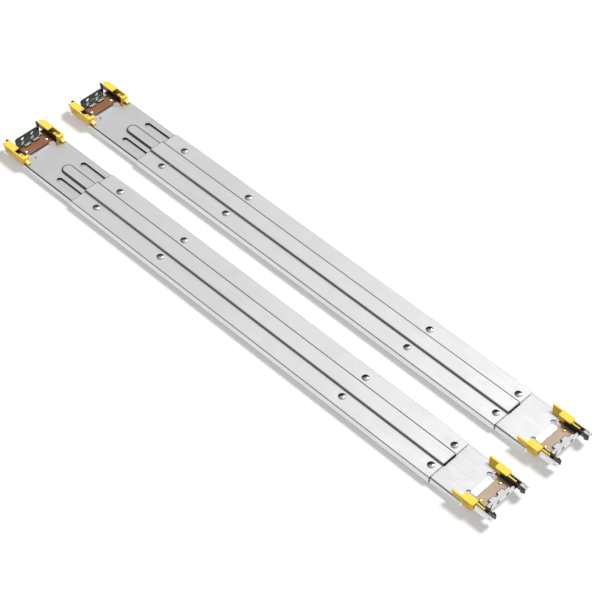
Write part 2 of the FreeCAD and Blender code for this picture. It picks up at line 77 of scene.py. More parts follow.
class End(Part):
    """Ends of a rail, with the way they point along X."""

    FRONT = 1
    REAR = -1


class Edge(Part):
    """Long edges of a rail, with the side of the centre line that they lie on."""

    UPPER = 1
    LOWER = -1


class Graph:
    """Thin helper that adds nodes to a tree and links them by socket name."""

    def __init__(self, tree: NodeTree) -> None:
        """Keep the tree that nodes are added to."""
        self.tree = tree

    def add(self, kind: str, props: Optional[dict] = None, **inputs: object) -> Node:
        """Add a node, set its properties, and set or link its inputs.

        Args:
            kind: Type name of the node.
            props: Properties of the node itself.
            inputs: Values or sockets by input name, spaces written as underscores.

        Returns:
            The new node.
        """
        node = self.tree.nodes.new(kind)
        for key, value in (props or {}).items():
            setattr(node, key, value)
        for key, value in inputs.items():
            self.feed(node.inputs[key.replace("_", " ")], value)
        return node

    def feed(self, socket: NodeSocket, value: object) -> None:
        """Link a socket into an input, or set the input's value."""
        if isinstance(value, NodeSocket):
            self.tree.links.new(value, socket)
        else:
            socket.default_value = value

    def math(self, operation: str, first: object, second: object = 0.0,
             clamp: bool = False) -> NodeSocket:
        """Add a math node.

        Args:
            operation: Operation of the node.
            first: First value or socket.
            second: Second value or socket.
            clamp: Whether the result is kept between 0 and 1.

        Returns:
            The result socket.
        """
        node = self.add("ShaderNodeMath", {"operation": operation, "use_clamp": clamp})
        self.feed(node.inputs[0], first)
        self.feed(node.inputs[1], second)
        return node.outputs[0]

    def mix(self, factor: object, first: object, second: object) -> NodeSocket:
        """Mix two colours.

        Args:
            factor: Share of the second colour.
            first: First colour or socket.
            second: Second colour or socket.

        Returns:
            The mixed colour.
        """
        node = self.add("ShaderNodeMix", {"data_type": "RGBA"})
        colours = [s for s in node.inputs if s.type == "RGBA"]
        self.feed(node.inputs[0], factor)
        for socket, value in zip(colours, (first, second)):
            self.feed(socket, (*value, 1.0) if isinstance(value, tuple) else value)
        return next(s for s in node.outputs if s.type == "RGBA")

    def ramp(self, value: NodeSocket, low: object, high: object) -> NodeSocket:
        """Map a value from low..high to 0..1.

        Args:
            value: Socket that is mapped.
            low: Value that becomes 0.
            high: Value that becomes 1.

        Returns:
            The mapped value.
        """
        node = self.add("ShaderNodeMapRange", Value=value, From_Min=low, From_Max=high)
        node.clamp = True
        return node.outputs[0]


def new_group(name: str, inputs: dict[str, object], *outputs: str) -> tuple:
    """Make a node group with named sockets.

    Args:
        name: Name of the group.
        inputs: Default of each number, or the kind of socket, by name.
        outputs: Names of the outputs: Geometry for a geometry tree, or else numbers.

    Returns:
        The graph helper, the sockets that bring the inputs and those that take the outputs.
    """
    family, result = (("GeometryNodeTree", "NodeSocketGeometry") if "Geometry" in outputs
                      else ("ShaderNodeTree", "NodeSocketFloat"))
    tree = bpy.data.node_groups.new(name, family)
    kinds = {float: "Float", int: "Int"}
    for label, value in inputs.items():
        kind = "NodeSocket" + kinds.get(type(value), str(value))
        made = tree.interface.new_socket(label, in_out="INPUT", socket_type=kind)
        if type(value) in kinds:
            made.default_value = value
    for label in outputs:
        tree.interface.new_socket(label, in_out="OUTPUT", socket_type=result)
    graph = Graph(tree)
    return graph, graph.add("NodeGroupInput").outputs, graph.add("NodeGroupOutput").inputs


# Spans of noise, thickness and openness that the shared effects work between.
HAIR_WIDTH = (0.0, 0.012)
SCRATCHED_PLACES = (0.56, 0.7)
SMUDGED_PLACES = (0.42, 0.75)
THINNEST_RIM = 0.35
CHIPPED_PLACES = (0.38, 0.62)
OPEN_PLACE = 0.85
SPECKS = (0.1, 0.55)


def rolled_grain() -> NodeTree:
    """Build the effect of sheet rolling: fine lines along X over a faint cloudiness."""
    graph, start, end = new_group(
        "rolled_grain", {"Vector": "Vector", "Lines": 900.0, "Stretch": 0.02}, "Value", "Cloud")
    scale = graph.add(
        "ShaderNodeCombineXYZ", X=graph.math("MULTIPLY", start["Lines"], start["Stretch"]),
        Y=start["Lines"], Z=start["Lines"])
    place = graph.add("ShaderNodeVectorMath", {"operation": "MULTIPLY"})
    graph.feed(place.inputs[0], start["Vector"])
    graph.feed(place.inputs[1], scale.outputs[0])
    lines = graph.add("ShaderNodeTexNoise", Vector=place.outputs[0], Scale=1.0, Detail=4.0)
    cloud = graph.add(
        "ShaderNodeTexNoise", Vector=start["Vector"], Scale=38.0, Detail=5.0, Roughness=0.6)
    graph.feed(end["Value"], lines.outputs[0])
    graph.feed(end["Cloud"], cloud.outputs[0])
    return graph.tree


def handling_marks() -> NodeTree:
    """Build the effect of handling: faint smudges and a few hair scratches, as one mask."""
    graph, start, end = new_group(
        "handling_marks",
        {"Vector": "Vector", "Size": 60.0, "Scratch Size": 210.0, "Amount": 0.5}, "Mask")
    smudge = graph.add(
        "ShaderNodeTexNoise", Vector=start["Vector"], Scale=start["Size"], Detail=6.0,
        Roughness=0.7, Distortion=0.8)
    scratch = graph.add(
        "ShaderNodeTexVoronoi", {"feature": "DISTANCE_TO_EDGE"}, Vector=start["Vector"],
        Scale=start["Scratch Size"])
    hair = graph.math("SUBTRACT", 1.0, graph.ramp(scratch.outputs[0], *HAIR_WIDTH), True)
    sparse = graph.ramp(smudge.outputs[0], *SCRATCHED_PLACES)
    lines = graph.math("MULTIPLY", hair, sparse)
    total = graph.math("ADD", graph.ramp(smudge.outputs[0], *SMUDGED_PLACES), lines)
    graph.feed(end["Mask"], graph.math("MULTIPLY", total, start["Amount"], True))
    return graph.tree


def edge_wear() -> NodeTree:
    """Build the mask of rims where a surface bulges, broken up by noise: rubbed rims on some
    finishes, painted dark edge shade on the sheets.
    """
    graph, start, end = new_group(
        "edge_wear",
        {"Vector": "Vector", "Thickness": 1.0, "Full": 0.8, "Chips": 1.0, "Amount": 0.6}, "Mask")
    rim = graph.math("SUBTRACT", 1.0, graph.ramp(start["Thickness"], THINNEST_RIM, start["Full"]))
    chip = graph.add("ShaderNodeTexNoise", Vector=start["Vector"], Scale=700.0, Detail=5.0)
    gaps = graph.math("SUBTRACT", 1.0, graph.ramp(chip.outputs[0], *CHIPPED_PLACES))
    whole = graph.math("SUBTRACT", 1.0, graph.math("MULTIPLY", gaps, start["Chips"]))
    worn = graph.math("MULTIPLY", rim, whole)
    graph.feed(end["Mask"], graph.math("MULTIPLY", worn, start["Amount"], True))
    return graph.tree


def crevice_shade() -> NodeTree:
    """Build painted shade in corners: dark where little of the sky is seen, broken up by specks.
    """
    graph, start, end = new_group(
        "crevice_shade",
        {"Vector": "Vector", "Openness": 1.0, "Closed": 0.4, "Amount": 0.5}, "Mask")
    closed = graph.math(
        "SUBTRACT", 1.0, graph.ramp(start["Openness"], start["Closed"], OPEN_PLACE))
    speck = graph.add("ShaderNodeTexNoise", Vector=start["Vector"], Scale=400.0, Detail=4.0)
    broken = graph.math("MULTIPLY", closed, graph.ramp(speck.outputs[0], *SPECKS))
    graph.feed(end["Mask"], graph.math("MULTIPLY", broken, start["Amount"], True))
    return graph.tree


# What all finishes have in common: clouds, painted shade in corners, and how marks and grain
# change the gloss.
CLOUD_SPAN = (0.3, 0.7)
CLOUD_SHARE = 0.6
PAINTED_SHADE_TONE = 0.25
MARKED_ROUGHNESS = 0.22
GRAIN_ROUGHNESS = 0.12
COAT_ROUGHNESS = 0.06
GRAIN_DEPTH = 0.05


@dataclass(frozen=True)
class Finish:
    """A finish of the object: its colours, gloss and the strength of each effect."""

    name: str
    slot: str
    colour: Colour
    second: Colour
    roughness: float
    metallic: float = 1.0
    coat: float = 0.0
    lines: float = 900.0
    stretch: float = 1.0
    grain_bump: float = 0.04
    marks: float = 0.2
    # Rim colour and strength: rims darker than the finish are painted edge shade, paler ones are
    # rubbed.
    worn: Colour = (0.9, 0.9, 0.9)
    wear: float = 0.3
    rim: float = 0.35
    chips: float = 1.0
    # Painted shade in corners: its strength, how far the occlusion looks, and the openness at
    # which it is full.
    grime: float = 0.9
    reach: float = 1.6
    closed: float = 0.5
    line_colour: Colour = (0.03, 0.03, 0.032)

    def build(self, groups: dict[str, NodeTree]) -> Material:
        """Make the material.

        Args:
            groups: The shared effects by name.

        Returns:
            The material, named after the finish.
        """
        material = bpy.data.materials.new(self.name)
        material.use_nodes = True
        material.diffuse_color = (*self.colour, 1.0)
        graph = Graph(material.node_tree)
        shader = material.node_tree.nodes["Principled BSDF"]
        place = graph.add("ShaderNodeTexCoord").outputs["Object"]

        def effect(name: str, **inputs: object) -> Node:
            """Place one shared effect with its own values."""
            return graph.add(
                "ShaderNodeGroup", {"node_tree": groups[name]}, Vector=place, **inputs)

        grain = effect("rolled_grain", Lines=self.lines, Stretch=self.stretch)
        marks = effect("handling_marks", Amount=self.marks)
        inside = graph.add(
            "ShaderNodeAmbientOcclusion", {"inside": True, "samples": 4}, Distance=self.rim * MM)
        outside = graph.add("ShaderNodeAmbientOcclusion", {"samples": 6}, Distance=self.reach * MM)
        wear = effect(
            "edge_wear", Thickness=inside.outputs["AO"], Chips=self.chips, Amount=self.wear)
        grime = effect(
            "crevice_shade", Openness=outside.outputs["AO"], Closed=self.closed, Amount=self.grime)
        tone = graph.math("MULTIPLY", graph.ramp(grain.outputs["Cloud"], *CLOUD_SPAN), CLOUD_SHARE)
        colour = graph.mix(tone, self.colour, self.second)
        # Rims take the rim colour: painted edge shade on the sheets, rubbing on the others.
        colour = graph.mix(wear.outputs[0], colour, self.worn)
        # Painted shade in corners: the colour darkens where occlusion finds close surfaces.
        dark = tuple(c * PAINTED_SHADE_TONE for c in self.colour)
        colour = graph.mix(grime.outputs[0], colour, dark)
        # Painted shade lines: faces mix towards the painted shade colour by the piece's own
        # attribute.
        line = graph.add("ShaderNodeAttribute", {"attribute_name": "edge_line"})
        colour = graph.mix(line.outputs["Fac"], colour, self.line_colour)
        graph.feed(shader.inputs["Base Color"], colour)
        rough = graph.math(
            "ADD", self.roughness, graph.math("MULTIPLY", marks.outputs[0], MARKED_ROUGHNESS))
        centred = graph.math("SUBTRACT", grain.outputs["Value"], 0.5)
        rough = graph.math("ADD", rough, graph.math("MULTIPLY", centred, GRAIN_ROUGHNESS), True)
        graph.feed(shader.inputs["Roughness"], rough)
        shader.inputs["Metallic"].default_value = self.metallic
        if self.coat > 0.0:
            shader.inputs["Coat Weight"].default_value = self.coat
            shader.inputs["Coat Roughness"].default_value = COAT_ROUGHNESS
        bump = graph.add("ShaderNodeBump", Strength=self.grain_bump,
                         Distance=GRAIN_DEPTH * MM, Height=grain.outputs["Value"])
        graph.feed(shader.inputs["Normal"], bump.outputs[0])
        return material


# Near-black rim colour of the bright steel finishes: painted shade along folds and edges.
PAINTED_EDGE_SHADE = (0.07, 0.07, 0.075)
PLATE = Finish("satin_zinc_sheet", "cover_steel", (0.80, 0.80, 0.81), (0.86, 0.86, 0.87), 0.34,
               stretch=0.02, marks=0.12, worn=PAINTED_EDGE_SHADE, wear=0.8, rim=0.7, chips=0.2, grime=0.85,
               closed=0.45)
MEMBER = Finish("satin_zinc_member", "member_steel", (0.76, 0.76, 0.775), (0.83, 0.83, 0.84), 0.32,
                stretch=0.02, marks=0.16, worn=PAINTED_EDGE_SHADE, wear=0.8, rim=0.8, chips=0.2, grime=0.85,
                closed=0.45)
RIVET = Finish("bright_rivet", "rivet_steel", (0.78, 0.78, 0.79), (0.86, 0.86, 0.86), 0.13,
               grain_bump=0.02)
TAN_BASE = Finish("tan_passivated_base", "base_plating", (0.40, 0.31, 0.235), (0.48, 0.38, 0.29),
                  0.38, marks=0.4, worn=(0.2, 0.12, 0.07))
COPPER_BASE = Finish("copper_passivated_base", "base_plating", (0.46, 0.20, 0.105),
                     (0.56, 0.27, 0.15), 0.30, marks=0.4, worn=(0.8, 0.5, 0.35), grime=0.85)
GOLD_RIVET = Finish("golden_rivet", "rivet_steel", (0.85, 0.62, 0.12), (0.95, 0.75, 0.25), 0.18)
FLANGE = Finish("bright_flange", "flange_steel", (0.80, 0.80, 0.81), (0.86, 0.86, 0.86), 0.22,
                stretch=0.3, marks=0.25, worn=PAINTED_EDGE_SHADE, wear=0.7, rim=0.6, chips=0.3)
# The rear flange is painted near black by the bracket's mirror shade, as a dark reflection.
PAINTED_DARK_FLANGE = Finish("dark_mirror_flange", "flange_steel", (0.78, 0.80, 0.76), (0.62, 0.66, 0.56),
                     0.10, stretch=0.3, marks=0.5, worn=(0.9, 0.92, 0.85), wear=0.6, rim=0.5,
                     line_colour=(0.028, 0.042, 0.034))
WALL = Finish("bright_prong_wall", "wall_steel", (0.80, 0.80, 0.81), (0.86, 0.86, 0.86), 0.25,
              stretch=0.3, marks=0.25, worn=PAINTED_EDGE_SHADE, wear=0.6, rim=0.6, chips=0.4, closed=0.4)
# Its red-brown tint is a painted reflection of the copper base plates.
HOOK = Finish("black_oxide_hook", "hook_steel", (0.030, 0.022, 0.018), (0.05, 0.018, 0.012), 0.12,
              metallic=0.6, coat=0.6, stretch=0.3, marks=0.3, worn=(0.75, 0.72, 0.68), wear=0.7,
              grime=0.3, closed=0.4)
# Its painted shade colour is the orange-gold of the grip's shaded sides.
YELLOW = Finish("yellow_grip_plastic", "latch_plastic", (1.0, 0.78, 0.075), (1.0, 0.82, 0.10),
                0.30, metallic=0.0, lines=500.0, worn=(1.0, 0.93, 0.42), wear=0.6, grime=0.6,
                closed=0.4, line_colour=(0.90, 0.47, 0.012))
SPRING = Finish("spring_wire", "spring_steel", (0.55, 0.55, 0.56), (0.65, 0.65, 0.65), 0.25,
                grime=0.5, closed=0.4)


def put_in(data: ID, name: str) -> Object:
    """Put a mesh, a camera or a lamp into the scene as an object at the origin.

    Args:
        data: What the object shows; a mesh has its place in its points.
        name: Name of the object.

    Returns:
        The object.
    """
    data.name = name
    made = bpy.data.objects.new(name, data)
    bpy.context.scene.collection.objects.link(made)
    return made


@dataclass
class Softener:
    """Turns a node's loose triangles into clean faces with softened edges and painted shade lines.
    """

    merge: float = 0.002
    flat_angle: float = 0.6
    sharp_angle: float = 28.0
    ring_shade: float = 0.85

    def copy(self, node: str, name: str, soft: float, place: "RailPlace",
             rule: Optional[LineRule] = None, ringed: Optional[FaceTest] = None,
             ring: float = 1.1) -> Object:
        """Make a softened copy of a node.

        Args:
            node: Node that is copied.
            name: Name of the new piece.
            soft: Width of the softened edges in millimetres.
            place: Rail that the node belongs to, with the planes that split its flat faces.
            rule: Tells how much painted shade a face gets at a place of the rail with a normal.
            ringed: Tells which flat faces get a painted shade line along their border.
            ring: Width of that line in millimetres.

        Returns:
            The new piece.
        """
        mesh = bpy.data.meshes.new(name)
        work = bmesh.new()
        work.from_mesh(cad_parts[node].data)
        bmesh.ops.remove_doubles(work, verts=work.verts, dist=self.merge * MM)
        for point, across in place.splits:
            cut = bmesh.ops.bisect_plane(
                work, geom=[*work.verts, *work.edges, *work.faces], plane_co=point,
                plane_no=across)
            for item in cut["geom_cut"]:
                if isinstance(item, bmesh.types.BMEdge):
                    item.seam = True
        bmesh.ops.dissolve_limit(
            work, angle_limit=math.radians(self.flat_angle), verts=work.verts, edges=work.edges,
            delimit={"SEAM"})
        for face in work.faces:
            face.smooth = True
        origin = place.origin
        strip = work.faces.layers.float.new("strip")
        # Ringed faces get an inset strip of painted shade along their border.
        if ringed:
            flats = [face for face in work.faces
                     if ringed((face.calc_center_median() - origin) / MM, face.normal)]
            made = bmesh.ops.inset_region(
                work, faces=flats, thickness=ring * MM, use_boundary=True, use_even_offset=True)
            for face in made["faces"]:
                face[strip] = self.ring_shade
        work.to_mesh(mesh)
        work.free()
        mesh.set_sharp_from_angle(angle=math.radians(self.sharp_angle))
        piece = put_in(mesh, name)
        bevel = piece.modifiers.new("softened edges", "BEVEL")
        bevel.width = soft * MM
        bevel.segments = 2
        bevel.limit_method = "ANGLE"
        bevel.angle_limit = math.radians(self.sharp_angle)
        bevel.miter_outer = "MITER_ARC"
        level = piece.modifiers.new("flat faces stay flat", "WEIGHTED_NORMAL")
        level.weight = 100
        level.keep_sharp = True
        graph = bpy.context.evaluated_depsgraph_get()
        solid = bpy.data.meshes.new_from_object(piece.evaluated_get(graph))
        bpy.data.objects.remove(piece)
        # Painted shade: each face takes the darker of its strip and its rule.
        rings = [item.value for item in solid.attributes["strip"].data]
        line = solid.attributes.new("edge_line", "FLOAT", "FACE")
        if rule:
            line.data.foreach_set("value", [
                max(own, rule((face.center - origin) / MM, face.normal))
                for own, face in zip(rings, solid.polygons)])
        return put_in(solid, name)


TURNED_SHARP = math.radians(40)


def turned(profile: Outline, sides: int) -> Mesh:
    """Make a closed turned shape.

    Args:
        profile: Radius and height of each ring from the bottom up, closed by a pole at each end.
        sides: Number of sides.

    Returns:
        The mesh, in metres.
    """
    work = bmesh.new()
    turns = [math.tau * i / sides for i in range(sides)]
    loops = [[work.verts.new((radius * MM * math.cos(turn), radius * MM * math.sin(turn),
                              height * MM)) for turn in turns] for radius, height in profile]
    for low, high in zip(loops, loops[1:]):
        for i in range(sides):
            j = (i + 1) % sides
            work.faces.new((low[i], low[j], high[j], high[i]))
    work.faces.new(loops[0][::-1])
    work.faces.new(loops[-1])
    for face in work.faces:
        face.smooth = True
    mesh = bpy.data.meshes.new("turned")
    work.to_mesh(mesh)
    work.free()
    mesh.set_sharp_from_angle(angle=TURNED_SHARP)
    return mesh


class Repeater:
    """Geometry Nodes trees for pieces that repeat, and the way they become plain meshes."""

    def __init__(self) -> None:
        """Build the trees once."""
        self.rivet_tree = self._rivet_rows()
        self.wire_tree = self._wound_wire()

    @staticmethod
    def _rivet_rows() -> NodeTree:
        """Tree that sets a turned rivet out in two rows over its stations."""
        graph, start, end = new_group(
            "rivet_rows",
            {"Geometry": "Geometry", "Rivet": "Object", "Row": 0.0159, "Seat": 0.0078,
             "Turn": 6.283, "Seed": 7, "Finish": "Material"}, "Geometry")
        rivet = graph.add("GeometryNodeObjectInfo", Object=start["Rivet"])
        join = graph.add("GeometryNodeJoinGeometry")
        for side in (-1.0, 1.0):
            offset = graph.add("ShaderNodeCombineXYZ",
                               Y=graph.math("MULTIPLY", start["Row"], side), Z=start["Seat"])
            moved = graph.add("GeometryNodeSetPosition",
                              Geometry=start["Geometry"], Offset=offset.outputs[0])
            turn = graph.add("FunctionNodeRandomValue", {"data_type": "FLOAT"}, Seed=start["Seed"])
            floats = [s for s in turn.inputs if s.type == "VALUE"]
            graph.feed(floats[1], start["Turn"])
            value = next(s for s in turn.outputs if s.type == "VALUE")
            spin = graph.add("ShaderNodeCombineXYZ", Z=value)
            placed = graph.add(
                "GeometryNodeInstanceOnPoints", Points=moved.outputs[0],
                Instance=rivet.outputs["Geometry"], Rotation=spin.outputs[0])
            graph.tree.links.new(placed.outputs[0], join.inputs[0])
        real = graph.add("GeometryNodeRealizeInstances", Geometry=join.outputs[0])
        dressed = graph.add("GeometryNodeSetMaterial",
                            Geometry=real.outputs[0], Material=start["Finish"])
        graph.feed(end[0], dressed.outputs[0])
        return graph.tree

    @staticmethod
    def _wound_wire() -> NodeTree:
        """Tree that winds a wire round each place: coil springs and screw threads."""
        graph, start, end = new_group(
            "wound_wire",
            {"Geometry": "Geometry", "Turns": 3.0, "Radius": 0.00185, "Length": 0.0017,
             "Wire": 0.00025, "Wire Sides": 10, "Turn Points": 28, "Tilt": "Rotation",
             "Finish": "Material"}, "Geometry")
        coil = graph.add(
            "GeometryNodeCurveSpiral", Resolution=start["Turn Points"], Rotations=start["Turns"],
            Start_Radius=start["Radius"], End_Radius=start["Radius"], Height=start["Length"])
        section = graph.add(
            "GeometryNodeCurvePrimitiveCircle", Resolution=start["Wire Sides"],
            Radius=start["Wire"])
        wire = graph.add("GeometryNodeCurveToMesh", Curve=coil.outputs[0],
                         Profile_Curve=section.outputs["Curve"], Fill_Caps=True)
        placed = graph.add(
            "GeometryNodeInstanceOnPoints", Points=start["Geometry"], Instance=wire.outputs[0],
            Rotation=start["Tilt"])
        real = graph.add("GeometryNodeRealizeInstances", Geometry=placed.outputs[0])
        smooth = graph.add("GeometryNodeSetShadeSmooth", Geometry=real.outputs[0])
        dressed = graph.add("GeometryNodeSetMaterial",
                            Geometry=smooth.outputs[0], Material=start["Finish"])
        graph.feed(end[0], dressed.outputs[0])
        return graph.tree

    @staticmethod
    def run(tree: NodeTree, name: str, places: Sequence[Vector],
            inputs: dict[str, object]) -> Object:
        """Run a tree over some places and keep the result as a plain mesh.

        Args:
            tree: Tree to run.
            name: Name of the new piece.
            places: Points that the tree works on, in metres.
            inputs: Values of the tree's named inputs.

        Returns:
            The new piece.
        """
        points = bpy.data.meshes.new(name + "_places")
        points.from_pydata([tuple(p) for p in places], [], [])
        carrier = put_in(points, name + "_places")
        modifier = carrier.modifiers.new(name, "NODES")
        modifier.node_group = tree
        for item in tree.interface.items_tree:
            if item.item_type == "SOCKET" and item.name in inputs:
                modifier[item.identifier] = inputs[item.name]
        graph = bpy.context.evaluated_depsgraph_get()
        mesh = bpy.data.meshes.new_from_object(carrier.evaluated_get(graph))
        bpy.data.objects.remove(carrier)
        return put_in(mesh, name)


@dataclass
class Workshop:
    """What every sub-assembly is made with."""

    softener: Softener
    repeater: Repeater
    materials: dict[str, Material]

    def dress(self, piece: Object, finish: Finish, body: str, *nodes: str) -> None:
        """Give a piece its finish and body, and hide the nodes that it stands for.

        Args:
            piece: Piece to dress.
            finish: Its finish.
            body: Body that it moves with.
            nodes: Nodes that it replaces.
        """
        piece.data.materials.clear()
        piece.data.materials.append(self.materials[finish.name])
        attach(piece, body)
        if nodes:
            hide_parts(*nodes)
        LOG.info("%s on %s", piece.name, body)

    def repeat(self, profile: Outline, sides: int, name: str,
               places: Sequence[Vector], row: float, seat: float, finish: Finish) -> Object:
        """Set a turned shape out in two rows.

        Args:
            profile: Outline of the shape.
            sides: Number of its sides.
            name: Name of the new piece.
            places: Stations on the centre line, in metres.
            row: Distance of each row from the centre line in millimetres.
            seat: Height of the shape's seat above the stations in millimetres.
            finish: Its finish.

        Returns:
            The new piece.
        """
        pattern = put_in(turned(profile, sides), "turned_pattern")
        piece = self.repeater.run(self.repeater.rivet_tree, name, places, {
            "Rivet": pattern, "Row": row * MM, "Seat": seat * MM,
            "Finish": self.materials[finish.name]})
        bpy.data.objects.remove(pattern)
        return piece


@dataclass
class RailPlace:
    """Where one rail lies, read from its cover."""

    rail: Rail
    cover_start: float = -24.6
    cover_end: float = 456.3
    cover_rim: float = 0.8
    cover_mouth: float = 3.0
    lane_strip: float = 7.3
    lane_foot: float = 8.6
    front_bend: float = 492.4
    rear_bend: float = -98.7
    face: float = 7.0
    rear_face: float = 6.7
    stations: tuple[float, ...] = (0.0, 93.3, 338.0, 448.0)
    split_reaches: tuple[float, ...] = (0.0, 6.5, 11.7, 31.4)
    split_height: float = 11.1

    def node(self, name: str) -> str:
        """Name of one of this rail's nodes."""
        return f"{self.rail.value}_{name}"

    @property
    def origin(self) -> Vector:
        """Point of the rail's centre line at the first rivets, on the ground."""
        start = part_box(self.node("cover"))[0].x
        low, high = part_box(self.node("rear_member"))
        return Vector((start - self.cover_start * MM, (low.y + high.y) / 2, 0.0))

    @property
    def splits(self) -> list[tuple[Vector, Vector]]:
        """Planes through the middles of holes, so that no flat face has a hole inside it."""
        across = [*self.stations, self.cover_start + self.cover_rim, self.cover_end,
                  self.cover_end + self.cover_rim, self.cover_end - self.cover_rim,
                  self.cover_end - self.cover_mouth,
                  *(self.front_bend + reach for reach in self.split_reaches),
                  *(self.rear_bend - reach for reach in self.split_reaches)]
        origin = self.origin
        planes = [(origin + Vector((x * MM, 0.0, 0.0)), Vector((1.0, 0.0, 0.0))) for x in across]
        for row in (self.lane_strip, self.lane_foot, -self.lane_foot):
            planes.append((origin + Vector((0.0, row * MM, 0.0)), Vector((0.0, 1.0, 0.0))))
        planes.append((Vector((0.0, 0.0, self.split_height * MM)), Vector((0.0, 0.0, 1.0))))
        return planes

    def body(self, end: Optional[End] = None, edge: Optional[Edge] = None) -> str:
        """Body of a bracket, of one of its catches, or of the front members.

        Args:
            end: End of the rail.
            edge: Edge, for a catch.

        Returns:
            Name of the body.
        """
        if edge is not None and end is not None:
            return self.node(f"{end.word}_{edge.word}_catch")
        return self.node("rear") if end is End.REAR else "rail_fronts"

    def at_end(self, end: End, reach: float, row: float, height: float) -> Vector:
        """Point of a bracket.

        Args:
            end: End of the rail.
            reach: Distance outwards from the bend line.
            row: Distance from the centre line, towards +Y.
            height: Height above the member's face.

        Returns:
            The point in metres.
        """
        bend = self.front_bend if end is End.FRONT else self.rear_bend
        face = self.face if end is End.FRONT else self.rear_face
        local = Vector((bend + end.value * reach, row, face + height))
        return self.origin + local * MM


# Normals above FLAT count as flat; the others set the painted shade on a grip's sides.
FLAT = 0.99
GRIP_TOP = 0.9
INNER_SIDE = 0.5
OUTER_SHARE = 0.65


@dataclass
class Members:
    """Front member, sliding rear member and riveted cover."""

    place: RailPlace
    shop: Workshop
    rivet_row: float = 15.9
    roof: float = 7.8
    head_radius: float = 3.8
    head_height: float = 1.5
    shank_radius: float = 2.0
    tail_radius: float = 3.0
    tail_height: float = 0.9
    shoulder_radius: float = 3.1
    shoulder: Span = (4.9, 7.0)
    sheet: float = 1.5
    lane_foot: float = 6.75
    ridge_top: float = 8.2
    face_top: float = 7.3
    fold_row: float = 24.0
    lane_reach: float = 11.0
    opening_reach: float = 20.0
    opening_low: float = 5.1
    opening_span: float = 297.0
    middle: float = 197.0
    # Painted shade on the rivets: a crescent on the side turned from the bright end, and a ring at
    # the foot.
    shade_from: Way = (-0.78, 0.42, 0.46)
    shade_turn: Span = (0.15, 0.5)
    ring_shade: float = 0.9
    ring_normal: float = 0.5
    round_share: float = 0.45
    soft: float = 0.2
    ring_steps: int = 9
    rivet_sides: int = 40
    tail_rings: Outline = ((0.55, 1.0), (0.9, 0.8), (1.0, 0.35))
    head_pole: float = 0.06
    slope: Span = (0.15, 0.93)
    level: float = 0.9
    upright: float = 0.5
    facing: float = -0.2

    def lines(self, near: float, far: float, fold: float, rims: float,
              ends: float = 0.0) -> LineRule:
        """Rule that paints shade on a lane's sides and open end, the folds, and walls of openings.

        Args:
            near: Darkness of the lane's side that faces the camera.
            far: Darkness of its other sides.
            fold: Darkness of the fold of the near wall.
            rims: Darkness of the far fold.
            ends: Darkness of the strips along the cover's ends.

        Returns:
            The rule.
        """
        start, end, rim = self.place.cover_start, self.place.cover_end, self.place.cover_rim

        def rule(place: Vector, normal: Vector) -> float:
            """Darkness at one place."""
            raised = abs(place.y) < self.lane_reach and place.z > self.lane_foot
            level, sloped = normal.z > self.level, self.slope[0] < normal.z < self.slope[1]
            if raised and normal.x > self.level:
                return 1.0
            if raised and sloped:
                lit = self.round_share if normal.z > self.upright else 1.0
                return near * lit if normal.y < self.facing else far
            if place.y > self.place.lane_strip and raised and place.z > self.roof and level:
                return far
            if abs(normal.z) < self.upright and place.z > self.opening_low:
                slot = (abs(place.y) < self.opening_reach
                        and abs(place.x - self.middle) < self.opening_span)
                return 1.0 if slot else 0.0
            if level:
                before = place.x < end or abs(place.y) < self.place.lane_foot
                mouth = end - self.place.cover_mouth < place.x < end + rim
                if place.z < self.face_top:
                    return 1.0 if mouth and before else 0.0
                return ends if place.x < start + rim or place.x > end - rim else 0.0
            if sloped and abs(place.y) > self.fold_row:
                return fold if normal.y < self.facing else rims
            return 0.0

        return rule

    def ridge_face(self, place: Vector, normal: Vector) -> bool:
        """Whether a face is the flat top of the rear member's lane."""
        return abs(place.y) < self.lane_reach and place.z > self.ridge_top and normal.z > FLAT

    def sheets(self) -> None:
        """Dress the three sheet parts."""
        # Each sheet gets painted shade lines from its rule; the rear member also gets a painted
        # shade outline round its ridge top.
        jobs = (
            ("front_member", MEMBER, None, self.lines(0.0, 0.0, 0.5, 0.4), None),
            ("cover", PLATE, None, self.lines(0.8, 0.9, 0.55, 0.45, 0.45), None),
            ("rear_member", MEMBER, End.REAR, self.lines(0.9, 0.85, 0.9, 0.5), self.ridge_face))
        for name, finish, end, rule, ringed in jobs:
            node = self.place.node(name)
            piece = self.shop.softener.copy(
                node, node + "_sheet", self.soft, self.place, rule, ringed)
            self.shop.dress(piece, finish, self.place.body(end), node)

    def rivet_profile(self, shouldered: bool) -> list[Span]:
        """Outline of a rivet, with its head's seat at height 0.

        Args:
            shouldered: Whether it has the shoulder that runs in a slot.

        Returns:
            Radius and height pairs from the tail up.
        """
        low, high = (value - self.roof for value in self.shoulder)
        floor = (low if shouldered else high) - self.sheet
        rings = [(self.tail_radius * wide, floor - self.tail_height * deep)
                 for wide, deep in self.tail_rings]
        rings += [(self.tail_radius, floor), (self.shank_radius, floor)]
        if shouldered:
            rings += [(self.shank_radius, low), (self.shoulder_radius, low),
                      (self.shoulder_radius, high), (self.shank_radius, high)]
        rings.append((self.shank_radius, 0.0))
        for step in range(self.ring_steps):
            angle = math.pi / 2 * step / self.ring_steps
            rings.append((self.head_radius * math.cos(angle), self.head_height * math.sin(angle)))
        rings.append((self.head_radius * self.head_pole, self.head_height))
        return rings

    def rivets(self) -> None:
        """Set out the eight turned rivets."""
        origin = self.place.origin
        parts = []
        for index, shouldered in enumerate((True, False)):
            stations = self.place.stations[:2] if shouldered else self.place.stations[2:]
            places = [origin + Vector((x * MM, 0, 0)) for x in stations]
            parts.append(self.shop.repeat(
                self.rivet_profile(shouldered), self.rivet_sides, f"rivets_{index}", places,
                self.rivet_row, self.roof, RIVET))
        node = self.place.node("cover_rivets")
        piece = joined(parts, node + "_turned")
